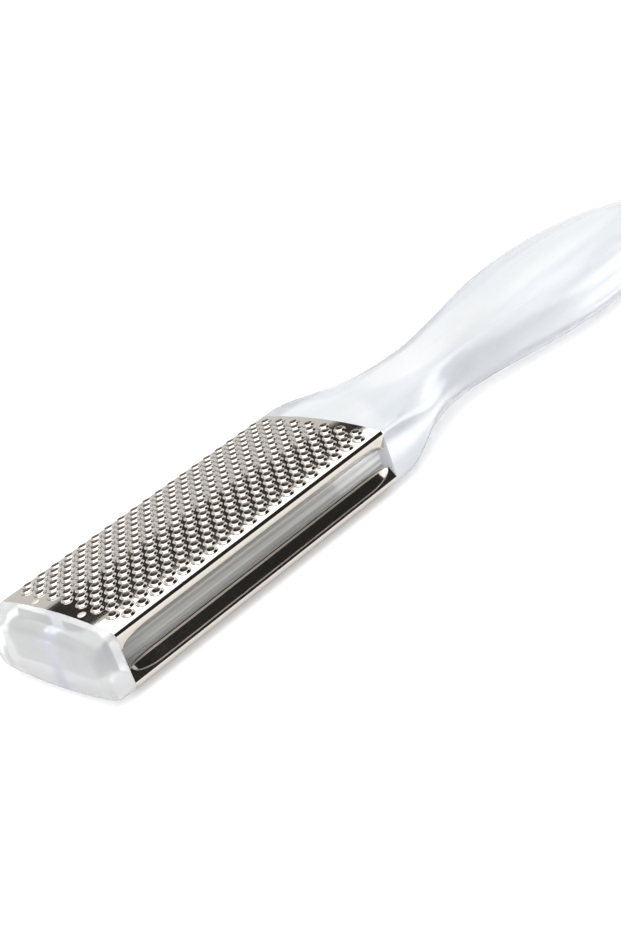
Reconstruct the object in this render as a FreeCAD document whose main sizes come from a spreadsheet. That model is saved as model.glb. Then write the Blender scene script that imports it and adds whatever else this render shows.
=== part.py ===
import FreeCAD, Part
import math
import os
import Sketcher
from FreeCAD import Placement, Rotation, Vector

# A double-sided foot file: a clear handle whose core carries a coarse and a fine steel rasp plate, and a
# clear cap on the free end of the core. X runs along the tool towards the grip, Z is up, and the coarse plate
# is on top. The origin is under the middle of the tool, on the surface that it lies on.

SIZES = {
    # the two folded plates
    "plate_length": 83.2,
    "plate_width": 42.0,
    "paddle_thickness": 16.4,
    "crown_radius": 150.0,
    "sheet_thickness": 0.5,
    "bend_radius": 1.2,
    "flange_height": 0.65,
    "flange_inset": 0.21,
    "lip_drop": 2.3,
    "lip_inset": 2.63,
    # the teeth of the coarse plate
    "coarse_pitch": 4.0,
    "coarse_column_gap": 2.6,
    "coarse_base_radius": 1.4,
    "coarse_rim_radius": 0.9,
    "coarse_height": 0.6,
    "coarse_pit_depth": 0.4,
    # the teeth of the fine plate
    "fine_pitch": 3.0,
    "fine_column_gap": 1.95,
    "fine_base_radius": 1.0,
    "fine_rim_radius": 0.55,
    "fine_height": 0.45,
    "fine_pit_depth": 0.25,
    # the bare margins round both fields of teeth, whose middle lies a little off the plates' towards the grip
    "end_margin": 2.5,
    "side_margin": 2.6,
    "field_offset": 0.6,
    # the core, and the room between it and what sits on it
    "waist_inset": 3.8,
    "seat_clearance": 0.05,
    "pocket_wall": 2.7,
    "pocket_height": 7.0,
    "pocket_depth": 9.0,
    "web_width": 4.0,
    # the end cap
    "cap_length": 6.5,
    "cap_edge_radius": 3.0,
    "spigot_clearance": 0.1,
    # the grip, with positions measured from the plates' end
    "handle_length": 141.0,
    "shoulder_length": 4.5,
    "flare_position": 19.0,
    "flare_width": 34.5,
    "flare_thickness": 14.0,
    "neck_position": 38.0,
    "neck_width": 24.5,
    "neck_thickness": 12.5,
    "swell_position": 63.0,
    "swell_width": 32.5,
    "swell_thickness": 14.8,
    "bulge_position": 90.0,
    "bulge_width": 41.0,
    "bulge_thickness": 17.2,
    "grip_edge_radius": 4.5,
    "grip_crown_radius": 75.0,
}

# The grip's sections between its shoulder and its nose, each with a position, a width and a thickness above
STATIONS = ("flare", "neck", "swell", "bulge")
# A grip's edge radius is limited to this share of the thickness there
EDGE_LIMIT = 0.3
# The nose is a quarter of an ellipse from the bulge on, with sections at these angles, and is blunter from
# the side, where its thickness follows this power of its width
NOSE_ANGLES = (25, 45, 62, 76, 85)
NOSE_BLUNTNESS = 0.6
# The teeth are joined to their plate with this tolerance
FUSE_TOLERANCE = 1e-5

# Values worked out from the sizes, on a second sheet
FORMULAS = {
    # where the plates start and end along the tool, and the height of its middle plane
    "plates_start": "(sizes.cap_length - sizes.plate_length - sizes.handle_length) / 2",
    "plates_end": "plates_start + sizes.plate_length",
    "middle_height": "max(sizes.paddle_thickness / 2 + sizes.fine_height; sizes.bulge_thickness / 2)",
    # one side of a plate's outer face, measured from the middle plane: the bend's centre, the turns of the
    # flange and the lip away from upright, in degrees, and the crease between those two
    "crown_centre": "sizes.paddle_thickness / 2 - sizes.crown_radius",
    "bend_y": "sizes.plate_width / 2 - sizes.bend_radius",
    "bend_z": "crown_centre + sqrt(pow(sizes.crown_radius - sizes.bend_radius; 2) - pow(bend_y; 2))",
    "flange_turn": "atan(sizes.flange_inset / sizes.flange_height) / 1 deg",
    "lip_turn": "atan(sizes.lip_inset / sizes.lip_drop) / 1 deg",
    "crease_y": "bend_y + sizes.bend_radius * cos(flange_turn * 1 deg) - sizes.flange_inset",
    "crease_z": "bend_z - sizes.bend_radius * sin(flange_turn * 1 deg) - sizes.flange_height",
    # the core, inside the plates by the sheet's thickness and a clearance
    "core_depth": "sizes.sheet_thickness + sizes.seat_clearance",
    "core_crown": "sizes.crown_radius - core_depth",
    "core_crown_z": "crown_centre + sqrt(pow(core_crown; 2) - pow(bend_y; 2))",
    "flank_y": "bend_y + (sizes.bend_radius - core_depth) * cos(flange_turn * 1 deg)",
    "flank_z": "bend_z - (sizes.bend_radius - core_depth) * sin(flange_turn * 1 deg)",
    "core_mitre": "core_depth / (1 + cos((lip_turn - flange_turn) * 1 deg))",
    "core_crease_y": "crease_y - core_mitre * (cos(flange_turn * 1 deg) + cos(lip_turn * 1 deg))",
    "core_crease_z": "crease_z + core_mitre * (sin(flange_turn * 1 deg) + sin(lip_turn * 1 deg))",
    "waist_y": "sizes.plate_width / 2 - sizes.waist_inset",
    "waist_z": "core_crease_z - (core_crease_y - waist_y) / tan(lip_turn * 1 deg)",
    # the pockets in the core's end, on both sides of a web, and the cap's spigots in them
    "pocket_inner": "sizes.web_width / 2",
    "pocket_outer": "waist_y - sizes.pocket_wall",
    "pocket_top": "sizes.pocket_height / 2",
    "spigot_inner": "pocket_inner + sizes.spigot_clearance",
    "spigot_outer": "pocket_outer - sizes.spigot_clearance",
    "spigot_top": "pocket_top - sizes.spigot_clearance",
    "spigot_length": "sizes.pocket_depth - sizes.spigot_clearance",
}
for station in STATIONS:
    thickness = f"sizes.{station}_thickness"
    FORMULAS[f"{station}_edge"] = f"min(sizes.grip_edge_radius; {EDGE_LIMIT} * {thickness})"
    FORMULAS[f"{station}_centre"] = f"{thickness} / 2 - sizes.grip_crown_radius"
for angle in NOSE_ANGLES:
    along = f"sin({angle} deg) / sin({NOSE_ANGLES[-1]} deg)"
    across = f"cos({angle} deg)"
    upright = f"pow({across}; {NOSE_BLUNTNESS})"
    nose_length = "(sizes.handle_length - sizes.bulge_position)"
    FORMULAS[f"nose_{angle}_position"] = f"sizes.bulge_position + {nose_length} * {along}"
    FORMULAS[f"nose_{angle}_width"] = f"sizes.bulge_width * {across}"
    FORMULAS[f"nose_{angle}_edge"] = f"bulge_edge * {upright}"
    FORMULAS[f"nose_{angle}_crown"] = f"sizes.grip_crown_radius * {across}"
    FORMULAS[f"nose_{angle}_centre"] = f"sizes.bulge_thickness * {upright} / 2 - nose_{angle}_crown"

document = FreeCAD.newDocument("foot_file")


def fill_sheet(name, cells):
    """A sheet with one named cell for each entry."""
    sheet = document.addObject("Spreadsheet::Sheet", name)
    for row, (alias, text) in enumerate(cells.items(), start=1):
        sheet.set(f"A{row}", alias)
        sheet.setAlias(f"B{row}", alias)
        sheet.set(f"B{row}", text)
    document.recompute()


fill_sheet("sizes", {alias: str(value) for alias, value in SIZES.items()})
fill_sheet("worked", {alias: f"={formula}" for alias, formula in FORMULAS.items()})


def value_of(reference):
    """The number in the cell that a reference such as sizes.plate_width or -worked.bend_y names."""
    sheet_name, alias = reference.removeprefix("-").split(".")
    value = float(getattr(document.getObject(sheet_name), alias))
    return -value if reference.startswith("-") else value


def size(alias):
    """A driving dimension as a number."""
    return value_of(f"sizes.{alias}")


def place(piece, start):
    """Puts a piece's own origin at a place along the tool, on its middle plane."""
    piece.setExpression("Placement.Base.x", start)
    piece.setExpression("Placement.Base.z", "worked.middle_height")


# Sketches across the tool
def cross_sketch(body, name, position="0"):
    """An empty sketch across the tool, at a position along the body's own X."""
    plane = next(feature for feature in body.Origin.OriginFeatures if feature.Role == "YZ_Plane")
    sketch = body.newObject("Sketcher::SketchObject", name)
    sketch.AttachmentSupport = [(plane, "")]
    sketch.MapMode = "FlatFace"
    sketch.setExpression("AttachmentOffset.Base.z", position)
    return sketch


def bind(sketch, kind, arguments, reference):
    """Adds a dimension to a sketch and ties it to a cell."""
    index = sketch.addConstraint(Sketcher.Constraint(kind, *arguments, value_of(reference)))
    sketch.setExpression(f"Constraints[{index}]", reference)


def crowned_section(sketch, width, edge, crown, centre):
    """A rounded box with crowned faces: the upper crown, an edge, a side, an edge, and the same below."""
    half_width = value_of(width) / 2
    edge_radius = value_of(edge)
    crown_radius = value_of(crown)
    crown_z = value_of(centre)
    edge_y = half_width - edge_radius
    edge_z = crown_z + math.sqrt((crown_radius - edge_radius) ** 2 - edge_y**2)
    lean = math.atan2(edge_z - crown_z, edge_y)

    def arc(y, z, radius, start, end):
        circle = Part.Circle(Vector(y, z, 0), Vector(0, 0, 1), radius)
        sketch.addGeometry(Part.ArcOfCircle(circle, start, end))

    def side(y, z_from, z_to):
        sketch.addGeometry(Part.LineSegment(Vector(y, z_from, 0), Vector(y, z_to, 0)))

    arc(0, crown_z, crown_radius, lean, math.pi - lean)
    arc(-edge_y, edge_z, edge_radius, math.pi - lean, math.pi)
    side(-half_width, edge_z, -edge_z)
    arc(-edge_y, -edge_z, edge_radius, math.pi, math.pi + lean)
    arc(0, -crown_z, crown_radius, math.pi + lean, 2 * math.pi - lean)
    arc(edge_y, -edge_z, edge_radius, 2 * math.pi - lean, 2 * math.pi)
    side(half_width, -edge_z, edge_z)
    arc(edge_y, edge_z, edge_radius, 0, lean)

    top, left_side, bottom, right_side = 0, 2, 4, 6
    edges = (1, 3, 5, 7)
    start, end, middle = 1, 2, 3
    origin = (-1, 1)
    horizontal_axis, vertical_axis = -1, -2
    for index in range(8):
        sketch.addConstraint(Sketcher.Constraint("Tangent", index, end, (index + 1) % 8, start))
    sketch.addConstraint(Sketcher.Constraint("Equal", top, bottom))
    for index in edges[1:]:
        sketch.addConstraint(Sketcher.Constraint("Equal", edges[0], index))
    for line in (left_side, right_side):
        sketch.addConstraint(Sketcher.Constraint("Symmetric", line, start, line, end, horizontal_axis))
    upper_ends = (left_side, start, right_side, end)
    sketch.addConstraint(Sketcher.Constraint("Symmetric", *upper_ends, vertical_axis))
    bind(sketch, "Radius", (edges[0],), edge)
    bind(sketch, "Radius", (top,), crown)
    bind(sketch, "DistanceX", upper_ends, width)
    bind(sketch, "DistanceY", (*origin, top, middle), centre)


def pinned_outline(sketch, corners, crowned_sides=(), crown=None):
    """A closed outline through corners, each pinned by two cells; the crowned sides are arcs."""
    points = [Vector(value_of(y), value_of(z), 0) for y, z in corners]
    first = sketch.GeometryCount
    count = len(points)
    ends = []
    for index, point in enumerate(points):
        following = points[(index + 1) % count]
        line = Part.LineSegment(point, following)
        if index in crowned_sides:
            radius = value_of(crown)
            rise = radius - math.sqrt(radius**2 - (following - point).Length ** 2 / 4)
            outward = Vector(0, math.copysign(rise, point.y), 0)
            line = Part.Arc(point, (point + following) / 2 + outward, following)
        sketch.addGeometry(line)
        # an arc runs anticlockwise, so its start may be at the following corner
        starts_here = sketch.Geometry[-1].StartPoint.isEqual(point, 1e-6)
        ends.append((1, 2) if starts_here else (2, 1))
    for index in range(count):
        following = (index + 1) % count
        joint = (first + index, ends[index][1], first + following, ends[following][0])
        sketch.addConstraint(Sketcher.Constraint("Coincident", *joint))
    origin = (-1, 1)
    for index, (y, z) in enumerate(corners):
        corner = (first + index, ends[index][0])
        bind(sketch, "DistanceX", (*origin, *corner), y)
        bind(sketch, "DistanceY", (*origin, *corner), z)
    for index in crowned_sides:
        bind(sketch, "Radius", (first + index,), crown)


def paired_rectangles(sketch, kind):
    """The two pockets or the two spigots, on both sides of the web."""
    inner, outer, top = (f"worked.{kind}_{side}" for side in ("inner", "outer", "top"))
    for sign in ("", "-"):
        near, far = f"{sign}{inner}", f"{sign}{outer}"
        pinned_outline(sketch, [(near, f"-{top}"), (far, f"-{top}"), (far, top), (near, top)])


def extruded(body, kind, name, sketch, length, backwards=False):
    """A pad or a pocket of a sketch along X."""
    feature = body.newObject(f"PartDesign::{kind}", name)
    feature.Profile = sketch
    feature.Reversed = backwards
    feature.setExpression("Length", length)
    document.recompute()
    return feature


# The handle: a grip lofted from the shoulder to the nose, and a core from the shoulder to the cap
def add_grip(body):
    sections = []

    def add_section(name, position, *references):
        sketch = cross_sketch(body, name, position)
        crowned_section(sketch, *references)
        sections.append(sketch)

    flush = ("sizes.plate_width", "sizes.bend_radius", "sizes.crown_radius", "worked.crown_centre")
    add_section("shoulder_front", "0", *flush)
    add_section("shoulder_back", "sizes.shoulder_length", *flush)
    for station in STATIONS:
        edge, centre = f"worked.{station}_edge", f"worked.{station}_centre"
        width = f"sizes.{station}_width"
        add_section(station, f"sizes.{station}_position", width, edge, "sizes.grip_crown_radius", centre)
    for angle in NOSE_ANGLES:
        name = f"nose_{angle}"
        cells = ("position", "width", "edge", "crown", "centre")
        add_section(name, *(f"worked.{name}_{cell}" for cell in cells))
    document.recompute()
    loft = body.newObject("PartDesign::AdditiveLoft", "grip")
    loft.Profile = sections[0]
    loft.Sections = sections[1:]
    document.recompute()


def add_core(body):
    flank = [
        ("worked.bend_y", "worked.core_crown_z"),
        ("worked.flank_y", "worked.flank_z"),
        ("worked.core_crease_y", "worked.core_crease_z"),
        ("worked.waist_y", "worked.waist_z"),
    ]
    corners = [(f"-{y}", z) for y, z in flank]
    corners += [(f"-{y}", f"-{z}") for y, z in reversed(flank)]
    corners += [(y, f"-{z}") for y, z in flank]
    corners += [(y, z) for y, z in reversed(flank)]
    bottom_side = len(corners) // 2 - 1
    top_side = len(corners) - 1
    sketch = cross_sketch(body, "core_section")
    pinned_outline(sketch, corners, (bottom_side, top_side), "worked.core_crown")
    return extruded(body, "Pad", "core", sketch, "sizes.plate_length", backwards=True)


def make_handle():
    body = document.addObject("PartDesign::Body", "handle")
    add_grip(body)
    core = add_core(body)
    pocket_sketch = cross_sketch(body, "pocket_section", "-sizes.plate_length")
    paired_rectangles(pocket_sketch, "pocket")
    pockets = extruded(body, "Pocket", "pockets", pocket_sketch, "sizes.pocket_depth", backwards=True)
    removed = core.Shape.Volume - pockets.Shape.Volume
    pocket_width = value_of("worked.pocket_outer") - value_of("worked.pocket_inner")
    expected = 2 * pocket_width * size("pocket_height") * size("pocket_depth")
    if not math.isclose(removed, expected, rel_tol=0.01):
        raise ValueError(f"the pockets removed {removed:.1f} cubic millimetres instead of {expected:.1f}")
    body.Tip = pockets
    place(body, "worked.plates_end")
    return body


# The end cap: a block of the plates' outline with a rounded front, and two spigots at its back
def make_end_cap():
    body = document.addObject("PartDesign::Body", "end_cap")
    block_sketch = cross_sketch(body, "cap_section")
    flush = ("sizes.plate_width", "sizes.bend_radius", "sizes.crown_radius", "worked.crown_centre")
    crowned_section(block_sketch, *flush)
    block = extruded(body, "Pad", "block", block_sketch, "sizes.cap_length", backwards=True)
    front_edges = []
    for number, edge in enumerate(block.Shape.Edges, start=1):
        if all(math.isclose(vertex.X, -size("cap_length"), abs_tol=1e-6) for vertex in edge.Vertexes):
            front_edges.append(f"Edge{number}")
    rounded = body.newObject("PartDesign::Fillet", "front_round")
    rounded.Base = (block, front_edges)
    rounded.setExpression("Radius", "sizes.cap_edge_radius")
    document.recompute()
    spigot_sketch = cross_sketch(body, "spigot_section")
    paired_rectangles(spigot_sketch, "spigot")
    body.Tip = extruded(body, "Pad", "spigots", spigot_sketch, "worked.spigot_length")
    place(body, "worked.plates_start")
    return body


# The plates: a folded sheet of constant section with a staggered field of crater teeth on its crown
def sheet_side(depth):
    """One side of the sheet at a depth: three points of the bend, the crease and the lip's end."""
    bend_y, bend_z = value_of("worked.bend_y"), value_of("worked.bend_z")
    turn = math.atan2(bend_z - value_of("worked.crown_centre"), bend_y)
    arm = size("bend_radius") - depth

    def on_bend(angle):
        return Vector(0, bend_y + arm * math.cos(angle), bend_z + arm * math.sin(angle))

    flange_turn = math.radians(value_of("worked.flange_turn"))
    lip_turn = math.radians(value_of("worked.lip_turn"))
    flange_inward = Vector(0, -math.cos(flange_turn), math.sin(flange_turn))
    lip_inward = Vector(0, -math.cos(lip_turn), math.sin(lip_turn))
    outer_crease = Vector(0, value_of("worked.crease_y"), value_of("worked.crease_z"))
    mitre = depth / (1 + math.cos(lip_turn - flange_turn))
    crease = outer_crease + (flange_inward + lip_inward) * mitre
    lip_end = outer_crease + Vector(0, -size("lip_inset"), -size("lip_drop")) + lip_inward * depth
    return on_bend(turn), on_bend((turn - flange_turn) / 2), on_bend(-flange_turn), crease, lip_end


def folded_face():
    """The section of the folded sheet, with its crown up."""
    edges = []
    lip_ends = []
    for depth in (0, size("sheet_thickness")):
        right = sheet_side(depth)
        left = [Vector(0, -point.y, point.z) for point in right]
        apex = Vector(0, 0, size("paddle_thickness") / 2 - depth)
        edges.append(Part.Arc(left[0], apex, right[0]).toShape())
        for crown_end, bend_middle, bend_end, crease, lip_end in (left, right):
            edges.append(Part.Arc(crown_end, bend_middle, bend_end).toShape())
            edges.append(Part.makeLine(bend_end, crease))
            edges.append(Part.makeLine(crease, lip_end))
        lip_ends.append((left[-1], right[-1]))
    for outer_end, inner_end in zip(*lip_ends):
        edges.append(Part.makeLine(outer_end, inner_end))
    return Part.Face(Part.Wire(Part.__sortEdges__(edges)))


def crater(grade):
    """One tooth: a cone with a hollowed top, rooted in half the sheet's thickness."""
    base, rim = size(f"{grade}_base_radius"), size(f"{grade}_rim_radius")
    height, pit = size(f"{grade}_height"), size(f"{grade}_pit_depth")
    root = size("sheet_thickness") / 2
    hollow = (rim**2 + pit**2) / (2 * pit)
    half_way_z = height - pit + hollow - math.sqrt(hollow**2 - rim**2 / 4)
    bottom = Vector(0, 0, -root)
    foot = Vector(base + root * (base - rim) / height, 0, -root)
    rim_edge = Vector(rim, 0, height)
    pit_bottom = Vector(0, 0, height - pit)
    outline = [
        Part.makeLine(bottom, foot),
        Part.makeLine(foot, rim_edge),
        Part.Arc(rim_edge, Vector(rim / 2, 0, half_way_z), pit_bottom).toShape(),
        Part.makeLine(pit_bottom, bottom),
    ]
    return Part.Face(Part.Wire(outline)).revolve(Vector(), Vector(0, 0, 1), 360)


def crater_field(grade):
    """The teeth of one plate in columns along X; every other column is half a pitch off."""
    length, offset = size("plate_length"), size("field_offset")
    pitch, gap = size(f"{grade}_pitch"), size(f"{grade}_column_gap")
    crown_radius, crown_centre = size("crown_radius"), value_of("worked.crown_centre")
    rows = int((length - 2 * (size("end_margin") + abs(offset))) / pitch) + 1
    columns = int((size("plate_width") - 2 * size("side_margin")) / gap) + 1
    tooth = crater(grade)
    on_crown = Placement(Vector(0, 0, crown_radius), Rotation())
    teeth = []
    for column in range(columns):
        turn = math.degrees((column - (columns - 1) / 2) * gap / crown_radius)
        count = rows if column % 2 else rows - 1
        for number in range(count):
            x = length / 2 + offset + (number - (count - 1) / 2) * pitch
            about_axis = Placement(Vector(x, 0, crown_centre), Rotation(Vector(1, 0, 0), turn))
            placed = tooth.copy()
            placed.Placement = about_axis.multiply(on_crown)
            teeth.append(placed)
    return teeth


def make_plate(grade, half_turn):
    folded = folded_face().extrude(Vector(size("plate_length"), 0, 0))
    teeth = crater_field(grade)
    toothed = folded.multiFuse(teeth, FUSE_TOLERANCE).Solids[0]
    cones = [face for face in toothed.Faces if isinstance(face.Surface, Part.Cone)]
    if len(cones) < len(teeth):
        raise ValueError(f"the {grade} plate has {len(cones)} of its {len(teeth)} teeth")
    plate = document.addObject("Part::Feature", f"{grade}_plate")
    plate.Shape = toothed
    plate.Placement = Placement(Vector(), Rotation(Vector(1, 0, 0), half_turn))
    place(plate, "worked.plates_start")
    return plate


pieces = [
    make_handle(),
    make_end_cap(),
    make_plate("coarse", half_turn=0),
    make_plate("fine", half_turn=180),
]
document.recompute()

for item in document.Objects:
    if "Invalid" in item.State or "Error" in item.State:
        raise ValueError(f"{item.Label} failed: {item.State}")
for piece in pieces:
    if piece.Shape.isNull() or not piece.Shape.isValid() or len(piece.Shape.Solids) != 1:
        raise ValueError(f"{piece.Label} has no single valid solid")

os.makedirs("parts", exist_ok=True)
for piece in pieces:
    piece.Shape.exportStep(f"parts/{piece.Label}.step")
    print(f"{piece.Label}: {piece.Shape.Volume:.0f} cubic millimetres")
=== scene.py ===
import math

import bmesh
import bpy
import numpy as np
from mathutils import Matrix, Vector


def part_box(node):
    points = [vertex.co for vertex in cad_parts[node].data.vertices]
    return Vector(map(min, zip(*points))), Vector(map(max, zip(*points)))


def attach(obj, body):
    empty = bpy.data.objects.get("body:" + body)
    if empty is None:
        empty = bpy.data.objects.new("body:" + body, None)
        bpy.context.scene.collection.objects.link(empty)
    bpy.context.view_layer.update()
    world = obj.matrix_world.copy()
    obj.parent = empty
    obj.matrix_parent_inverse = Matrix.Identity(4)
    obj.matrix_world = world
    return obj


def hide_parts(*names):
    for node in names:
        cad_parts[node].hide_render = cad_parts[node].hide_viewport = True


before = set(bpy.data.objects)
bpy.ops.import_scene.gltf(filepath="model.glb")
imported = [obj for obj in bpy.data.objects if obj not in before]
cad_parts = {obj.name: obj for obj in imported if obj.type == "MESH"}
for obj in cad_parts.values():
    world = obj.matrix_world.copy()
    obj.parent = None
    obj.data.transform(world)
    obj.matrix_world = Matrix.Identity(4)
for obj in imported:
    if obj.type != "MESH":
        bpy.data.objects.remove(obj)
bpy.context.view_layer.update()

# Sizes in metres. What the part's model gives is read from it; the rest repeats the part's sizes or is finer
# detail
MM = 0.001

plate_low, plate_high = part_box("coarse_plate")
cap_low, cap_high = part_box("end_cap")
_, handle_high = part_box("handle")

PLATES_START = plate_low.x
PLATES_END = plate_high.x
PLATE_LENGTH = PLATES_END - PLATES_START
HALF_WIDTH = plate_high.y
MIDDLE = (cap_low.z + cap_high.z) / 2
HALF_THICKNESS = (cap_high.z - cap_low.z) / 2
CAP_FRONT = cap_low.x
HANDLE_END = handle_high.x

# The folded plates
CROWN_RADIUS = 150 * MM
SHEET = 0.5 * MM
BEND_RADIUS = 1.2 * MM
FLANGE_HEIGHT = 0.65 * MM
FLANGE_INSET = 0.21 * MM
LIP_DROP = 2.3 * MM
LIP_INSET = 2.63 * MM
CREASE_ROUND = 0.14 * MM
# where the points of the flange and of the lip lie along them; the lip's last strips are worn, and the very
# last one is painted black as shade
FLANGE_SHARES = (0, 0.04, 0.5, 0.96)
LIP_SHARES = (0, 0.04, 0.2, 0.5, 0.78, 0.93, 1)
# at its ends a flange stays plain down to its edge, and the lip's crease runs out in a round
EAR_START = 1.0 * MM
EAR_END = 8.5 * MM
# how much of the lip is left there
LEAST_LIP = 0.06
# the plates and the cap draw back this far from where they meet their neighbours
END_GAP = 0.03 * MM
# from the tool's middle: the crown's axis, the middle of the bend, and the bend's end at the flange
CROWN_CENTRE = HALF_THICKNESS - CROWN_RADIUS
BEND_Y = HALF_WIDTH - BEND_RADIUS
BEND_Z = CROWN_CENTRE + math.sqrt((CROWN_RADIUS - BEND_RADIUS) ** 2 - BEND_Y**2)
FLANGE_TURN = math.atan2(FLANGE_INSET, FLANGE_HEIGHT)
LIP_TURN = math.atan2(LIP_INSET, LIP_DROP)
BEND_END_Y = BEND_Y + BEND_RADIUS * math.cos(FLANGE_TURN)
BEND_END_Z = BEND_Z - BEND_RADIUS * math.sin(FLANGE_TURN)

# The teeth: pitch along the tool, gap between columns, and scale against a coarse tooth
# their height and profile follow the photograph's look, and differ a little from the part's
COARSE = {"pitch": 4.0 * MM, "gap": 2.6 * MM, "scale": 1.0, "height": 0.48 * MM, "segments": 24}
FINE = {"pitch": 3.0 * MM, "gap": 1.95 * MM, "scale": 0.72, "height": 0.42 * MM, "segments": 16}
# the least distance of a tooth's middle from the plate's ends and sides, and the field's shift to the grip
END_MARGIN = 2.5 * MM
SIDE_MARGIN = 2.6 * MM
FIELD_OFFSET = 0.6 * MM
# a coarse tooth's profile, as radius in millimetres and share of the height, from its foot to its pit
TOOTH_PROFILE = (
    (1.58, -0.05),
    (1.52, 0.04),
    (1.44, 0.15),
    (1.35, 0.34),
    (1.26, 0.54),
    (1.17, 0.74),
    (1.08, 0.90),
    (0.99, 1.00),
    (0.92, 0.98),
    (0.84, 0.85),
    (0.74, 0.62),
    (0.65, 0.42),
    (0.56, 0.25),
    (0.47, 0.13),
    (0.28, 0.08),
    (0.0, 0.06),
)
# where along the profile the foot's black painted shade ends, and the pit's wall and floor, both painted
# with shade, start
FOOT_END = 2
PIT_START = 8
PIT_FLOOR = 11
# the finishes of a plate's faces, in the order of its materials; the second and the third are painted shade
PLATED, PIT_WALL_PAINTED_SHADE, BLACK_PAINTED_SHADE, FOLD = range(4)
# two small dimples near the cap, so far from the plate's end and from its middle
DIMPLE_ALONG = 1.5 * MM
DIMPLE_ASIDE = 8.5 * MM
DIMPLE_RADIUS = 1.0 * MM
DIMPLE_HEIGHT = 0.18 * MM

# The core between the plates, and the end cap with its spigots in the core's pockets
SEAT_CLEARANCE = 0.05 * MM
WAIST_INSET = 3.8 * MM
WAIST_RIDGE = 0.25 * MM
POCKET_WALL = 2.7 * MM
POCKET_HEIGHT = 7.0 * MM
POCKET_DEPTH = 9.0 * MM
WEB_WIDTH = 4.0 * MM
SPIGOT_CLEARANCE = 0.1 * MM
CAP_ROUND = 3.0 * MM
# the cap's long edges get rounder towards its front by this much
CAP_CORNER = 2.0 * MM
# the finishes of the handle's faces, in the order of its materials
GRIP_FACE, CORE_FACE = range(2)
# a face whose normal has more of the tool's direction than this looks along the tool
END_FACE = 0.5

# The grip's sections: position from the plates' end, width and thickness
SHOULDER_LENGTH = 4.5 * MM
FLARE = (19.0 * MM, 34.5 * MM, 14.0 * MM)
NECK = (38.0 * MM, 24.5 * MM, 12.5 * MM)
SWELL = (63.0 * MM, 32.5 * MM, 14.8 * MM)
BULGE = (90.0 * MM, 41.0 * MM, 17.2 * MM)
GRIP_CROWN = 75 * MM
# the radius of the grip's long edges, and the most of its thickness that it may be
GRIP_EDGE = 4.5 * MM
EDGE_LIMIT = 0.3
# the nose gets thinner as this power of what is left of its width
NOSE_BLUNTNESS = 0.6
# no section of the nose is narrower than this many radii of its edges
NOSE_EDGES = 2.4
# the nose's sections stop just before its tip
NOSE_SWEEP = math.radians(88.5)

# How finely the round shapes are divided
CROWN_STEPS = 28
EDGE_STEPS = 8
SIDE_STEPS = 3
PLATE_CROWN_STEPS = 26
BEND_STEPS = 8
CREASE_STEPS = 4
EAR_STEPS = 16
PLATE_STEPS = 24
DIMPLE_RINGS = 5
DIMPLE_SEGMENTS = 16
CORE_CROWN_STEPS = 24
GRIP_STEPS = 110
NOSE_STEPS = 40
CAP_STEPS = 12
CARD_STEPS = 40

# The plastic's refraction, and how often its flow lines change in a metre along the tool
REFRACTION = 1.49
FLOW_ALONG = 6
# the sockets of a Mix node that mixes colours
MIX_FACTOR, MIX_FIRST, MIX_SECOND, MIX_RESULT = 0, 6, 7, 2

# The stage and the camera, which is fitted to the photograph's grid of teeth: angles in degrees
FLOOR_HALF = 3.0
CARD_BLACK = (0.015, 0.014, 0.013, 1)
CAMERA_HEADING = 52.326
CAMERA_PITCH = -23.882
CAMERA_ROLL = -19.510
CAMERA_FROM_PLATES_END = Vector((-218.51, -274.57, 152.60)) * MM
FOCAL_PIXELS = 1601.3
FRAME_HEIGHT_PIXELS = 931
SENSOR_MILLIMETRES = 36
NEAREST_SEEN = 0.01
FARTHEST_SEEN = 20


# Meshes
def add_object(name, mesh, materials=()):
    """A mesh as an object of the scene, with its materials."""
    piece = bpy.data.objects.new(name, mesh)
    bpy.context.scene.collection.objects.link(piece)
    for material in materials:
        mesh.materials.append(material)
    return piece


def finish_mesh(mesh, sharp_degrees=35):
    """Turns the faces outwards and shades them smoothly up to an angle."""
    shape = bmesh.new()
    shape.from_mesh(mesh)
    bmesh.ops.recalc_face_normals(shape, faces=shape.faces)
    shape.to_mesh(mesh)
    shape.free()
    mesh.shade_smooth()
    mesh.set_sharp_from_angle(angle=math.radians(sharp_degrees))


def ring_faces(rings, count, closed=True):
    """Quads between rings of points that follow each other."""
    faces = []
    for ring in range(rings - 1):
        for column in range(count if closed else count - 1):
            following = (column + 1) % count
            low, high = ring * count, (ring + 1) * count
            faces.append((low + column, low + following, high + following, high + column))
    return faces


def solid_from_rings(name, rings):
    """A closed mesh through rings of points, with a face over each end."""
    count = len(rings[0])
    faces = ring_faces(len(rings), count)
    faces.append(tuple(reversed(range(count))))
    last = (len(rings) - 1) * count
    faces.append(tuple(range(last, last + count)))
    mesh = bpy.data.meshes.new(name)
    mesh.from_pydata([point for ring in rings for point in ring], [], faces)
    finish_mesh(mesh)
    return mesh


def prism(name, outline, x_from, x_to):
    """A closed mesh of an outline of (y, z) points, from one place along the tool to another."""
    rings = [[(x, y, z) for y, z in outline] for x in (x_from, x_to)]
    return solid_from_rings(name, rings)


def turned_shape(profile, segments):
    """Vertices and faces of a profile of (radius, height) points, turned about the axis that it ends on."""
    vertices = []
    for radius, height in profile[:-1]:
        for segment in range(segments):
            angle = 2 * math.pi * segment / segments
            vertices.append((radius * math.cos(angle), radius * math.sin(angle), height))
    tip = len(vertices)
    vertices.append((0, 0, profile[-1][1]))
    faces = ring_faces(len(profile) - 1, segments)
    last = tip - segments
    for segment in range(segments):
        faces.append((last + segment, last + (segment + 1) % segments, tip))
    return np.array(vertices), faces


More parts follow.
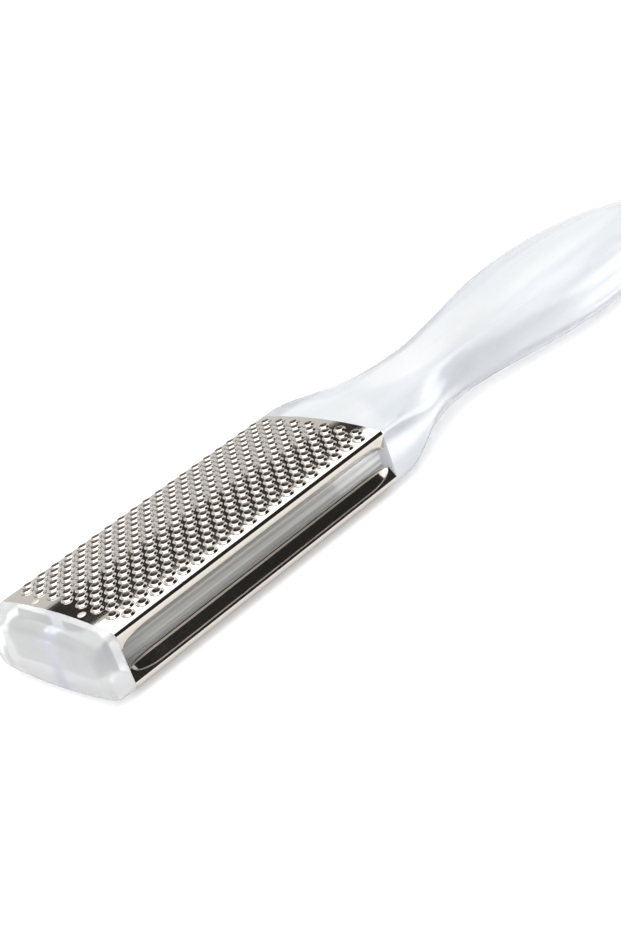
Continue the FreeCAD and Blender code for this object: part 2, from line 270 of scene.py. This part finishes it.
def combine(piece, tool_mesh, operation):
    """Joins a mesh to a piece or cuts it away."""
    tool = add_object("tool", tool_mesh)
    modifier = piece.modifiers.new("combine", "BOOLEAN")
    modifier.object = tool
    modifier.operation = operation
    modifier.solver = "EXACT"
    evaluated = piece.evaluated_get(bpy.context.evaluated_depsgraph_get())
    piece.data = bpy.data.meshes.new_from_object(evaluated)
    piece.modifiers.clear()
    bpy.data.objects.remove(tool)


def set_materials(piece, materials):
    """Gives a combined piece its materials, in place of those that the combining left."""
    piece.data.materials.clear()
    for material in materials:
        piece.data.materials.append(material)


# Sections across the tool
def arc(centre, radius, start, end, steps):
    """Points of an arc of (y, z), its last one left out."""
    points = []
    for step in range(steps):
        angle = start + (end - start) * step / steps
        points.append((centre[0] + radius * math.cos(angle), centre[1] + radius * math.sin(angle)))
    return points


def box_outline(y_from, y_to, half_height):
    """A rectangle of (y, z) points about the tool's middle plane."""
    low, high = MIDDLE - half_height, MIDDLE + half_height
    return [(y_from, low), (y_to, low), (y_to, high), (y_from, high)]


def crowned_section(width, thickness, edge, crown):
    """A rounded box with crowned faces, anticlockwise from the right end of its upper crown."""
    crown_z = thickness / 2 - crown
    edge_y = width / 2 - edge
    edge_z = crown_z + math.sqrt((crown - edge) ** 2 - edge_y**2)
    lean = math.atan2(edge_z - crown_z, edge_y)
    upper = arc((0, crown_z), crown, lean, math.pi - lean, CROWN_STEPS)
    upper += arc((-edge_y, edge_z), edge, math.pi - lean, math.pi, EDGE_STEPS)
    side = [(-width / 2, edge_z * (1 - step / SIDE_STEPS)) for step in range(2 * SIDE_STEPS)]
    lower_edge = arc((-edge_y, -edge_z), edge, math.pi, math.pi + lean, EDGE_STEPS)
    left_half = upper + side + lower_edge
    right_half = [(-y, -z) for y, z in left_half]
    return [(y, MIDDLE + z) for y, z in left_half + right_half]


def spline(stations, end_slope=None):
    """A natural cubic through (place, value) stations, optionally with a given slope at its end."""
    places = np.array([station[0] for station in stations])
    values = np.array([station[1] for station in stations])
    steps = np.diff(places)
    slopes = np.diff(values) / steps
    count = len(places)
    matrix = np.zeros((count, count))
    wanted = np.zeros(count)
    matrix[0, 0] = 1
    for index in range(1, count - 1):
        before, after = steps[index - 1], steps[index]
        matrix[index, index - 1 : index + 2] = before, 2 * (before + after), after
        wanted[index] = 6 * (slopes[index] - slopes[index - 1])
    if end_slope is None:
        matrix[-1, -1] = 1
    else:
        matrix[-1, -2:] = steps[-1], 2 * steps[-1]
        wanted[-1] = 6 * (end_slope - slopes[-1])
    bends = np.linalg.solve(matrix, wanted)

    def value_at(place):
        index = int(np.clip(np.searchsorted(places, place) - 1, 0, count - 2))
        step = steps[index]
        after, before = place - places[index], places[index + 1] - place
        cubic = (bends[index] * before**3 + bends[index + 1] * after**3) / (6 * step)
        left = (values[index] / step - bends[index] * step / 6) * before
        right = (values[index + 1] / step - bends[index + 1] * step / 6) * after
        return cubic + left + right

    return value_at


# The plates
def crease_and_lip_end(end_distance):
    """Where a lip's crease and free edge lie, at a distance from the plate's nearer end."""
    crease = Vector((BEND_END_Y, BEND_END_Z)) - Vector((FLANGE_INSET, FLANGE_HEIGHT))
    # towards the plate's ends the crease moves along the flange to its free edge
    share = min(1, max(0, (EAR_END - end_distance) / (EAR_END - EAR_START)))
    run_out = 1 - math.sqrt(1 - share**2)
    crease -= Vector((FLANGE_INSET / FLANGE_HEIGHT, 1)) * LIP_DROP * run_out
    lip_end = crease - Vector((LIP_INSET, LIP_DROP)) * max(1 - run_out, LEAST_LIP)
    return crease, lip_end


def plate_profile(end_distance):
    """The outer side of a plate's right half as (y, z) points, at a distance from its nearer end."""
    bend_start = math.atan2(BEND_Z - CROWN_CENTRE, BEND_Y)
    points = arc((0, CROWN_CENTRE), CROWN_RADIUS, math.pi / 2, bend_start, PLATE_CROWN_STEPS)
    points += arc((BEND_Y, BEND_Z), BEND_RADIUS, bend_start, -FLANGE_TURN, BEND_STEPS)
    bend_end = Vector((BEND_END_Y, BEND_END_Z))
    crease, lip_end = crease_and_lip_end(end_distance)
    flange = (crease - bend_end).normalized()
    lip = Vector((-LIP_INSET, -LIP_DROP)).normalized()
    before = crease - flange * CREASE_ROUND
    after = crease + lip * min(CREASE_ROUND, (lip_end - crease).length / 2)
    for share in FLANGE_SHARES:
        points.append(tuple(bend_end.lerp(before, share)))
    for step in range(CREASE_STEPS):
        share = step / CREASE_STEPS
        points.append(tuple(before.lerp(crease, share).lerp(crease.lerp(after, share), share)))
    for share in LIP_SHARES:
        points.append(tuple(after.lerp(lip_end, share)))
    return points


def ring_distances():
    """Where the sheet's rings of points lie along the plate, closest together where the lips run out."""
    ears = [0.0, EAR_START / 2]
    for step in range(EAR_STEPS + 1):
        rise = 1 - math.cos(math.pi / 2 * step / EAR_STEPS)
        ears.append(EAR_START + (EAR_END - EAR_START) * rise)
    middle_length = PLATE_LENGTH - 2 * EAR_END
    middle = [EAR_END + middle_length * step / PLATE_STEPS for step in range(1, PLATE_STEPS)]
    return ears + middle + [PLATE_LENGTH - distance for distance in reversed(ears)]


def sheet_ring(distance):
    """The sheet's outer and then its inner side as (x, y, z) points, at a distance along the plate."""
    right = np.array(plate_profile(min(distance, PLATE_LENGTH - distance)))
    outer = np.vstack([right[:0:-1] * (-1, 1), right])
    along = np.gradient(outer, axis=0)
    inward = np.stack([along[:, 1], -along[:, 0]], axis=1)
    inner = outer + SHEET * inward / np.linalg.norm(inward, axis=1, keepdims=True)
    section = np.vstack([outer, inner[::-1]])
    x = np.full((len(section), 1), distance)
    return np.hstack([x, section])


def strip_finishes(count):
    """The finishes of the strips between a ring's points, of which the first half are on the outer side."""
    half = count // 2
    lip_strips = len(LIP_SHARES) - 1
    strips = [PLATED] * count
    # the lips' free edges, then on both lips the worn strip and the crease, and then the lips' last strips,
    # painted black as shade
    strips[half - 1] = FOLD
    strips[count - 1] = FOLD
    for column in (1, *range(lip_strips, lip_strips + CREASE_STEPS)):
        strips[column] = FOLD
        strips[half - 2 - column] = FOLD
    strips[0] = BLACK_PAINTED_SHADE
    strips[half - 2] = BLACK_PAINTED_SHADE
    return strips


def sheet_geometry():
    """A folded sheet, its crown up and its middle plane at zero: vertices, faces and each face's finish."""
    rings = [sheet_ring(distance) for distance in ring_distances()]
    count = len(rings[0])
    faces = ring_faces(len(rings), count)
    finishes = strip_finishes(count) * (len(rings) - 1)
    last = (len(rings) - 1) * count
    for column in range(count // 2 - 1):
        quad = (column, column + 1, count - 2 - column, count - 1 - column)
        faces.append(quad)
        faces.append(tuple(last + index for index in reversed(quad)))
        finishes += [PLATED, PLATED]
    return np.vstack(rings), faces, finishes


def tooth_finish(ring):
    """The finish of a tooth's faces that start at a point of its profile."""
    # the pit's wall gets brown painted shade, and the foot and the pit's floor get black painted shade
    if FOOT_END <= ring < PIT_START:
        return PLATED
    if PIT_START <= ring < PIT_FLOOR:
        return PIT_WALL_PAINTED_SHADE
    return BLACK_PAINTED_SHADE


def tooth_geometry(grade):
    """One tooth standing on zero: vertices, faces and each face's finish."""
    scale, height, segments = grade["scale"], grade["height"], grade["segments"]
    profile = [(radius * scale * MM, share * height) for radius, share in TOOTH_PROFILE]
    vertices, faces = turned_shape(profile, segments)
    finishes = [tooth_finish(index // segments) for index in range(len(faces))]
    return vertices, faces, finishes


def dimple_geometry():
    """A low round bump standing on zero: vertices, faces and each face's finish."""
    profile = []
    for ring in range(DIMPLE_RINGS):
        angle = math.pi / 2 * ring / DIMPLE_RINGS
        profile.append((DIMPLE_RADIUS * math.cos(angle), DIMPLE_HEIGHT * math.sin(angle)))
    profile.append((0, DIMPLE_HEIGHT))
    vertices, faces = turned_shape(profile, DIMPLE_SEGMENTS)
    return vertices, faces, [FOLD] * len(faces)


def on_crown(vertices, x, turn):
    """The vertices of what stands on zero, placed along the plate and turned about the crown's axis."""
    y = vertices[:, 1]
    height = vertices[:, 2] + CROWN_RADIUS
    across = y * math.cos(turn) + height * math.sin(turn)
    upright = height * math.cos(turn) - y * math.sin(turn) + CROWN_CENTRE
    return np.stack([x + vertices[:, 0], across, upright], axis=1)


def tooth_places(grade):
    """Where the teeth stand: distance along the plate and turn about the crown's axis."""
    rows = int((PLATE_LENGTH - 2 * (END_MARGIN + FIELD_OFFSET)) / grade["pitch"]) + 1
    columns = int((2 * HALF_WIDTH - 2 * SIDE_MARGIN) / grade["gap"]) + 1
    field_middle = PLATE_LENGTH / 2 + FIELD_OFFSET
    for column in range(columns):
        turn = (column - (columns - 1) / 2) * grade["gap"] / CROWN_RADIUS
        count = rows if column % 2 else rows - 1
        for number in range(count):
            yield field_middle + (number - (count - 1) / 2) * grade["pitch"], turn


def make_plate(name, node, grade, upside_down, materials):
    """A rasp plate: the folded sheet with its teeth and dimples."""
    tooth = tooth_geometry(grade)
    dimple = dimple_geometry()
    placings = [(tooth, x, turn) for x, turn in tooth_places(grade)]
    for side in (-1, 1):
        placings.append((dimple, DIMPLE_ALONG, side * DIMPLE_ASIDE / CROWN_RADIUS))
    vertices, faces, finishes = sheet_geometry()
    all_vertices = [vertices]
    offset = len(vertices)
    for (shape, shape_faces, shape_finishes), x, turn in placings:
        all_vertices.append(on_crown(shape, x, turn))
        faces += [tuple(offset + index for index in face) for face in shape_faces]
        finishes += shape_finishes
        offset += len(shape)
    points = np.vstack(all_vertices)
    if upside_down:
        points[:, 1:] *= -1
    points[:, 0] = PLATES_START + END_GAP + points[:, 0] * (1 - 2 * END_GAP / PLATE_LENGTH)
    points[:, 2] += MIDDLE
    mesh = bpy.data.meshes.new(name)
    mesh.from_pydata(points.tolist(), [], faces)
    mesh.polygons.foreach_set("material_index", np.array(finishes, dtype=np.int32))
    finish_mesh(mesh, sharp_degrees=40)
    plate = add_object(name, mesh, materials)
    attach(plate, "root")
    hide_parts(node)


# The handle
def grip_edge(thickness):
    """The radius of the grip's long edges where it has a thickness."""
    return min(GRIP_EDGE, EDGE_LIMIT * thickness)


def grip_rings():
    """The grip's sections from the plates' end to its widest place."""
    flush = (2 * HALF_WIDTH, 2 * HALF_THICKNESS)
    stations = [(0, *flush), (SHOULDER_LENGTH, *flush), FLARE, NECK, SWELL, BULGE]
    edges = [(0, BEND_RADIUS), (SHOULDER_LENGTH, BEND_RADIUS)]
    crowns = [(0, CROWN_RADIUS), (SHOULDER_LENGTH, CROWN_RADIUS)]
    for place, _, thickness in stations[2:]:
        edges.append((place, grip_edge(thickness)))
        crowns.append((place, GRIP_CROWN))
    width_at = spline([(place, width) for place, width, _ in stations], end_slope=0)
    thickness_at = spline([(place, thickness) for place, _, thickness in stations], end_slope=0)
    edge_at = spline(edges)
    crown_at = spline(crowns)
    rings = []
    for step in range(GRIP_STEPS):
        place = BULGE[0] * step / GRIP_STEPS
        section = crowned_section(width_at(place), thickness_at(place), edge_at(place), crown_at(place))
        rings.append([(PLATES_END + place, y, z) for y, z in section])
    return rings


def nose_rings():
    """The sections of the grip's round end, from its widest place on."""
    place, width, thickness = BULGE
    start = PLATES_END + place
    rings = []
    for step in range(NOSE_STEPS):
        angle = NOSE_SWEEP * step / (NOSE_STEPS - 1)
        across = math.cos(angle)
        upright = across**NOSE_BLUNTNESS
        edge = min(grip_edge(thickness) * upright, width * across / NOSE_EDGES)
        section = crowned_section(width * across, thickness * upright, edge, GRIP_CROWN * across)
        x = start + (HANDLE_END - start) * math.sin(angle)
        rings.append([(x, y, z) for y, z in section])
    return rings


def core_outline():
    """The core's section: crowns under the plates, flanks in their flanges, and a ridged waist."""
    depth = SHEET + SEAT_CLEARANCE
    arm = BEND_RADIUS - depth
    flank_y = BEND_Y + arm * math.cos(FLANGE_TURN)
    flank_z = BEND_Z - arm * math.sin(FLANGE_TURN)
    mitre = depth / (1 + math.cos(LIP_TURN - FLANGE_TURN))
    crease_y = BEND_END_Y - FLANGE_INSET - mitre * (math.cos(FLANGE_TURN) + math.cos(LIP_TURN))
    crease_z = BEND_END_Z - FLANGE_HEIGHT + mitre * (math.sin(FLANGE_TURN) + math.sin(LIP_TURN))
    waist_y = HALF_WIDTH - WAIST_INSET
    waist_z = crease_z - (crease_y - waist_y) / math.tan(LIP_TURN)
    crown = CROWN_RADIUS - depth
    lean = math.acos(BEND_Y / crown)
    upper = arc((0, CROWN_CENTRE), crown, lean, math.pi - lean, CORE_CROWN_STEPS)
    crown_end = (-BEND_Y, CROWN_CENTRE + crown * math.sin(lean))
    left = [crown_end, (-flank_y, flank_z), (-crease_y, crease_z), (-waist_y, waist_z)]
    ridge = [(-waist_y - WAIST_RIDGE, 0)]
    mirrored_left = [(y, -z) for y, z in reversed(left)]
    half = upper + left + ridge + mirrored_left[:-1]
    whole = half + [(-y, -z) for y, z in half]
    return [(y, MIDDLE + z) for y, z in whole]


def pocket_spans(clearance):
    """The pockets' extents across the tool, on both sides of the web, drawn in by a clearance."""
    inner = WEB_WIDTH / 2 + clearance
    outer = HALF_WIDTH - WAIST_INSET - POCKET_WALL - clearance
    return [(-outer, -inner), (inner, outer)]


def make_handle(grip_material, core_material):
    """The handle: the grip and its nose, the core, and the pockets in the core's free end."""
    overlap = 2 * MM
    handle = add_object("grip_and_core", solid_from_rings("grip", grip_rings() + nose_rings()))
    combine(handle, prism("core", core_outline(), PLATES_START, PLATES_END + overlap), "UNION")
    for y_from, y_to in pocket_spans(0):
        outline = box_outline(y_from, y_to, POCKET_HEIGHT / 2)
        pocket = prism("pocket", outline, PLATES_START - overlap, PLATES_START + POCKET_DEPTH)
        combine(handle, pocket, "DIFFERENCE")
    finish_mesh(handle.data)
    set_materials(handle, [grip_material, core_material])
    # the core's own material is on its flanks, and not in the pockets
    for face in handle.data.polygons:
        on_flank = abs(face.center.y) > HALF_WIDTH - WAIST_INSET - POCKET_WALL / 2
        on_core = face.center.x < PLATES_END - SEAT_CLEARANCE and abs(face.normal.x) < END_FACE
        face.material_index = CORE_FACE if on_core and on_flank else GRIP_FACE
    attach(handle, "root")
    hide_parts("handle")


# The end cap
def cap_rings(back):
    """The cap's sections from its back to its rounded front."""
    width, thickness = 2 * HALF_WIDTH, 2 * HALF_THICKNESS
    straight_end = CAP_FRONT + CAP_ROUND
    rings = []
    for x in (back, (back + straight_end) / 2):
        rings.append([(x, y, z) for y, z in crowned_section(width, thickness, BEND_RADIUS, CROWN_RADIUS)])
    for step in range(CAP_STEPS + 1):
        share = step / CAP_STEPS
        angle = math.pi / 2 * share
        inset = CAP_ROUND * (1 - math.cos(angle))
        edge = BEND_RADIUS + CAP_CORNER * share
        section = crowned_section(width - 2 * inset, thickness - 2 * inset, edge, CROWN_RADIUS - inset)
        rings.append([(straight_end - CAP_ROUND * math.sin(angle), y, z) for y, z in section])
    return rings


def make_cap(material):
    """The end cap: its nose, and the two spigots in the core's pockets."""
    overlap = 1 * MM
    back = PLATES_START - END_GAP
    tip = PLATES_START + POCKET_DEPTH - SPIGOT_CLEARANCE
    cap = add_object("clear_cap", solid_from_rings("cap", cap_rings(back)))
    for y_from, y_to in pocket_spans(SPIGOT_CLEARANCE):
        outline = box_outline(y_from, y_to, POCKET_HEIGHT / 2 - SPIGOT_CLEARANCE)
        combine(cap, prism("spigot", outline, back - overlap, tip), "UNION")
    finish_mesh(cap.data)
    set_materials(cap, [material])
    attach(cap, "root")
    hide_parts("end_cap")


# Materials
def new_material(name):
    """A material with its nodes and links."""
    material = bpy.data.materials.new(name)
    material.use_nodes = True
    return material, material.node_tree.nodes, material.node_tree.links


def colour_ramp(nodes, stops):
    """A ramp through stops of position and colour."""
    ramp = nodes.new("ShaderNodeValToRGB")
    elements = ramp.color_ramp.elements
    for position, _ in stops[2:]:
        elements.new(position)
    for element, (position, colour) in zip(elements, stops):
        element.position = position
        element.color = (*colour, 1)
    return ramp


def varied_material(name, stretch, noise_scale, detail, colours, roughness, bump):
    """A material whose colour, roughness and bump follow one noise, stretched along the tool."""
    material, nodes, links = new_material(name)
    shader = nodes["Principled BSDF"]
    place = nodes.new("ShaderNodeTexCoord")
    mapping = nodes.new("ShaderNodeMapping")
    mapping.inputs["Scale"].default_value = stretch
    noise = nodes.new("ShaderNodeTexNoise")
    noise.inputs["Scale"].default_value = noise_scale
    noise.inputs["Detail"].default_value = detail
    ramp = colour_ramp(nodes, colours)
    spread = nodes.new("ShaderNodeMapRange")
    spread.inputs["To Min"].default_value = roughness[0]
    spread.inputs["To Max"].default_value = roughness[1]
    relief = nodes.new("ShaderNodeBump")
    relief.inputs["Strength"].default_value = bump[0]
    relief.inputs["Distance"].default_value = bump[1]
    links.new(place.outputs["Object"], mapping.inputs["Vector"])
    links.new(mapping.outputs["Vector"], noise.inputs["Vector"])
    for follower in (ramp.inputs["Fac"], spread.inputs["Value"], relief.inputs["Height"]):
        links.new(noise.outputs["Fac"], follower)
    links.new(ramp.outputs["Color"], shader.inputs["Base Color"])
    links.new(spread.outputs["Result"], shader.inputs["Roughness"])
    links.new(relief.outputs["Normal"], shader.inputs["Normal"])
    return material


def share_along(nodes, links, vector, axis, start, end):
    """A socket that rises from zero to one while the size of a vector's part goes from start to end."""
    parts = nodes.new("ShaderNodeSeparateXYZ")
    size = nodes.new("ShaderNodeMath")
    size.operation = "ABSOLUTE"
    share = nodes.new("ShaderNodeMapRange")
    share.inputs["From Min"].default_value = start
    share.inputs["From Max"].default_value = end
    links.new(vector, parts.inputs["Vector"])
    links.new(parts.outputs[axis], size.inputs[0])
    links.new(size.outputs[0], share.inputs["Value"])
    return share.outputs["Result"]


def product(nodes, links, shares):
    """A socket that holds the product of some others."""
    total = shares[0]
    for share in shares[1:]:
        multiply = nodes.new("ShaderNodeMath")
        multiply.operation = "MULTIPLY"
        links.new(total, multiply.inputs[0])
        links.new(share, multiply.inputs[1])
        total = multiply.outputs[0]
    return total


def tint(material, region, tints):
    """Multiplies a material's colour by tints, over a region of coordinates, axes, starts and ends."""
    nodes, links = material.node_tree.nodes, material.node_tree.links
    place = nodes["Texture Coordinate"]
    base_colour = nodes["Principled BSDF"].inputs["Base Color"]
    untinted = base_colour.links[0].from_socket
    shares = [share_along(nodes, links, place.outputs[vector], *limits) for vector, *limits in region]
    ramp = colour_ramp(nodes, tints)
    mix = nodes.new("ShaderNodeMix")
    mix.data_type = "RGBA"
    mix.blend_type = "MULTIPLY"
    mix.inputs[MIX_FACTOR].default_value = 1
    links.new(product(nodes, links, shares), ramp.inputs["Fac"])
    links.new(untinted, mix.inputs[MIX_FIRST])
    links.new(ramp.outputs["Color"], mix.inputs[MIX_SECOND])
    links.new(mix.outputs[MIX_RESULT], base_colour)


def clear_plastic(name, dark, light, clearness, roughness, region, tints, lines=220):
    """A plastic with flow lines along the tool, so many in a metre across it, and tints over a region."""
    material = varied_material(
        name,
        stretch=(FLOW_ALONG, lines, lines),
        noise_scale=1,
        detail=3,
        colours=[(0.35, dark), (0.65, light)],
        roughness=roughness,
        bump=(0.15, 0.3 * MM),
    )
    shader = material.node_tree.nodes["Principled BSDF"]
    shader.inputs["IOR"].default_value = REFRACTION
    shader.inputs["Transmission Weight"].default_value = clearness
    tint(material, region, tints)
    return material


def metal(name, dark, light, roughness, grain):
    """A metal that varies between two colours and two roughnesses, with a grain along the tool."""
    material = varied_material(
        name,
        stretch=(0.15, 1, 1),
        noise_scale=grain,
        detail=4,
        colours=[(0, dark), (1, light)],
        roughness=roughness,
        bump=(0.08, 0.1 * MM),
    )
    material.node_tree.nodes["Principled BSDF"].inputs["Metallic"].default_value = 1
    return material


# The stage
def seen_directly(nodes, links, in_gloss):
    """A socket that is one for rays to the camera and through plastic, and a share of that in gloss."""
    rays = nodes.new("ShaderNodeLightPath")
    gloss = nodes.new("ShaderNodeMath")
    gloss.operation = "MULTIPLY"
    gloss.inputs[1].default_value = in_gloss
    either = nodes.new("ShaderNodeMath")
    either.operation = "MAXIMUM"
    every = nodes.new("ShaderNodeMath")
    every.operation = "MAXIMUM"
    links.new(rays.outputs["Is Glossy Ray"], gloss.inputs[0])
    links.new(rays.outputs["Is Camera Ray"], either.inputs[0])
    links.new(gloss.outputs[0], either.inputs[1])
    links.new(either.outputs[0], every.inputs[0])
    links.new(rays.outputs["Is Transmission Ray"], every.inputs[1])
    return every.outputs[0]


def strength_by_ray(nodes, links, unseen, seen, in_gloss):
    """A strength that has one value for rays that only light the object, and another where it is seen."""
    strength = nodes.new("ShaderNodeMapRange")
    strength.inputs["To Min"].default_value = unseen
    strength.inputs["To Max"].default_value = seen
    links.new(seen_directly(nodes, links, in_gloss), strength.inputs["Value"])
    return strength.outputs["Result"]


def add_floor():
    """A pale floor that keeps the object's shadow."""
    corners = [(x * FLOOR_HALF, y * FLOOR_HALF, 0) for x, y in ((-1, -1), (1, -1), (1, 1), (-1, 1))]
    mesh = bpy.data.meshes.new("floor")
    mesh.from_pydata(corners, [], [(0, 1, 2, 3)])
    material, nodes, links = new_material("floor")
    shader = nodes["Principled BSDF"]
    shader.inputs["Base Color"].default_value = (0.85, 0.85, 0.85, 1)
    shader.inputs["Roughness"].default_value = 0.9
    shader.inputs["Emission Color"].default_value = (1, 1, 1, 1)
    glow = strength_by_ray(nodes, links, unseen=0, seen=0.32, in_gloss=0.15)
    links.new(glow, shader.inputs["Emission Strength"])
    floor = add_object("floor", mesh, [material])


def add_world():
    """A white surrounding that lights the object a little less than it shows."""
    world = bpy.data.worlds.new("studio")
    bpy.context.scene.world = world
    world.use_nodes = True
    nodes, links = world.node_tree.nodes, world.node_tree.links
    background = nodes["Background"]
    background.inputs["Color"].default_value = (1, 1, 1, 1)
    strength = strength_by_ray(nodes, links, unseen=0.64, seen=1, in_gloss=0.2)
    links.new(strength, background.inputs["Strength"])


def add_card(name, stations, reach=1.6):
    """A black card bent round the object, seen only in gloss: azimuths, low and high edges in degrees."""
    azimuths = [station[0] for station in stations]
    points = []
    for edge in (1, 2):
        elevations = [station[edge] for station in stations]
        for azimuth in np.linspace(azimuths[0], azimuths[-1], CARD_STEPS + 1):
            height = reach * math.tan(math.radians(np.interp(azimuth, azimuths, elevations)))
            turn = math.radians(azimuth)
            points.append((reach * math.cos(turn), reach * math.sin(turn), height))
    mesh = bpy.data.meshes.new(name)
    mesh.from_pydata(points, [], ring_faces(2, CARD_STEPS + 1, closed=False))
    material, nodes, _ = new_material(name)
    nodes["Principled BSDF"].inputs["Base Color"].default_value = CARD_BLACK
    nodes["Principled BSDF"].inputs["Roughness"].default_value = 1
    card = add_object(name, mesh, [material])
    card.visible_camera = False
    card.visible_diffuse = False
    card.visible_transmission = False
    card.visible_shadow = False


def add_softbox(name, azimuth, ahead, aside, height, radiance):
    """A lamp that faces down: its extents along an azimuth and to the right of it, and its radiance."""
    lamp = bpy.data.lights.new(name, "AREA")
    lamp.shape = "RECTANGLE"
    lamp.size = ahead[1] - ahead[0]
    lamp.size_y = aside[1] - aside[0]
    lamp.energy = radiance * math.pi * lamp.size * lamp.size_y
    holder = bpy.data.objects.new(name, lamp)
    turn = Matrix.Rotation(math.radians(azimuth), 4, "Z")
    middle = Vector(((ahead[0] + ahead[1]) / 2, -(aside[0] + aside[1]) / 2, height))
    holder.matrix_world = turn @ Matrix.Translation(middle)
    bpy.context.scene.collection.objects.link(holder)


def add_fill(name, azimuth, elevation, distance, size, radiance):
    """A square lamp that faces the object from one direction and isn't seen in gloss."""
    lamp = bpy.data.lights.new(name, "AREA")
    lamp.shape = "SQUARE"
    lamp.size = size
    lamp.energy = radiance * math.pi * size**2
    holder = bpy.data.objects.new(name, lamp)
    turn = Matrix.Rotation(math.radians(azimuth), 4, "Z")
    tilt = Matrix.Rotation(math.radians(90 - elevation), 4, "Y")
    holder.matrix_world = turn @ tilt @ Matrix.Translation((0, 0, distance))
    holder.visible_glossy = False
    bpy.context.scene.collection.objects.link(holder)


def add_camera():
    """The camera at the photograph's viewing angle."""
    camera = bpy.data.cameras.new("camera")
    camera.sensor_width = SENSOR_MILLIMETRES
    camera.lens = SENSOR_MILLIMETRES * FOCAL_PIXELS / FRAME_HEIGHT_PIXELS
    camera.clip_start = NEAREST_SEEN
    camera.clip_end = FARTHEST_SEEN
    holder = bpy.data.objects.new("camera", camera)
    place = Matrix.Translation(Vector((PLATES_END, 0, MIDDLE)) + CAMERA_FROM_PLATES_END)
    heading = Matrix.Rotation(math.radians(CAMERA_HEADING - 90), 4, "Z")
    pitch = Matrix.Rotation(math.radians(CAMERA_PITCH + 90), 4, "X")
    roll = Matrix.Rotation(math.radians(CAMERA_ROLL), 4, "Z")
    holder.matrix_world = place @ heading @ pitch @ roll
    bpy.context.scene.collection.objects.link(holder)
    bpy.context.scene.camera = holder


# The clear pieces: the grip has painted shade towards its edges, the core painted shade that darkens it
# towards the cap, and the cap is tinted at the web
grip_plastic = clear_plastic(
    "grip_plastic",
    dark=(0.94, 0.955, 0.97),
    light=(0.985, 0.988, 0.99),
    clearness=0.62,
    roughness=(0.1, 0.22),
    # painted shade: a grey-blue band where the surface turns from up or down towards the sides
    region=[("Normal", "Z", 1, 0.9)],
    tints=[
        (0.04, (1, 1, 1)),
        (0.08, (0.87, 0.90, 0.925)),
        (0.3, (0.88, 0.91, 0.94)),
        (0.7, (0.96, 0.975, 1)),
    ],
)
core_plastic = clear_plastic(
    "core_plastic",
    dark=(0.46, 0.46, 0.45),
    light=(1.0, 1.0, 0.98),
    clearness=0.4,
    roughness=(0.1, 0.2),
    # painted shade: the core's colour darker towards the cap, and white towards the grip
    region=[("Object", "X", abs(PLATES_START), abs(PLATES_END))],
    tints=[(0, (0.72, 0.72, 0.71)), (0.6, (0.76, 0.76, 0.75)), (0.95, (1, 1, 1))],
    lines=700,
)
cap_plastic = clear_plastic(
    "cap_plastic",
    dark=(0.98, 0.99, 1.0),
    light=(1.0, 1.0, 0.995),
    clearness=0.62,
    roughness=(0.01, 0.05),
    # the web's width with soft edges, on the cap's back face alone
    region=[
        ("Object", "Y", 0.6 * WEB_WIDTH, 0.4 * WEB_WIDTH),
        ("Object", "X", abs(PLATES_START) + 4 * END_GAP, abs(PLATES_START) + 2 * END_GAP),
    ],
    tints=[(0, (1, 1, 1)), (1, (0.30, 0.42, 0.80))],
)
make_handle(grip_plastic, core_plastic)
make_cap(cap_plastic)

# The plates, with a metal for each finish, two of which are painted shade
plated_steel = metal(
    "plated_steel",
    dark=(0.72, 0.67, 0.60),
    light=(0.80, 0.76, 0.70),
    roughness=(0.04, 0.09),
    grain=600,
)
# painted shade: a dark brown metal on the pits' walls, in place of the bright plating, for the shade in
# these hollows
pit_wall_painted_shade = metal(
    "pit_wall_painted_shade",
    dark=(0.075, 0.062, 0.05),
    light=(0.19, 0.165, 0.14),
    roughness=(0.3, 0.4),
    grain=2500,
)
# painted shade: a near-black metal on the pits' floors, on the teeth's feet between them and on the lips'
# last strips
black_painted_shade = metal(
    "black_painted_shade",
    dark=(0.02, 0.016, 0.013),
    light=(0.06, 0.05, 0.04),
    roughness=(0.35, 0.45),
    grain=2500,
)
worn_fold = metal(
    "worn_fold",
    dark=(0.70, 0.64, 0.57),
    light=(0.80, 0.75, 0.68),
    roughness=(0.4, 0.5),
    grain=900,
)
plate_finishes = {PLATED: plated_steel, PIT_WALL_PAINTED_SHADE: pit_wall_painted_shade, BLACK_PAINTED_SHADE: black_painted_shade, FOLD: worn_fold}
plate_metals = [plate_finishes[finish] for finish in sorted(plate_finishes)]
make_plate("coarse_rasp", "coarse_plate", COARSE, upside_down=False, materials=plate_metals)
make_plate("fine_rasp", "fine_plate", FINE, upside_down=True, materials=plate_metals)

# The studio; its cards give the bright metal the photograph's dark bands
add_floor()
add_world()
add_softbox("overhead", azimuth=52, ahead=(-1.5, 1.95), aside=(-1.0, 0.76), height=1.3, radiance=1.25)
add_fill("fill", azimuth=200, elevation=22, distance=1.2, size=0.8, radiance=1.6)
band_edges = [
    (42, 30.5, 31),
    (46, 29.5, 32.5),
    (47, 29, 35),
    (50, 27.3, 36.6),
    (54, 26, 37.8),
    (59, 24.8, 37.2),
    (80, 24.7, 39),
]
add_card("band_behind", band_edges)
add_card("card_beside", [(-80, 33, 65), (-12, 33, 65)], reach=1.5)
add_card("card_in_front", [(-80, 0, 34), (-8, 0, 34)], reach=1.4)
add_camera()
bpy.context.scene.view_settings.view_transform = "Standard"
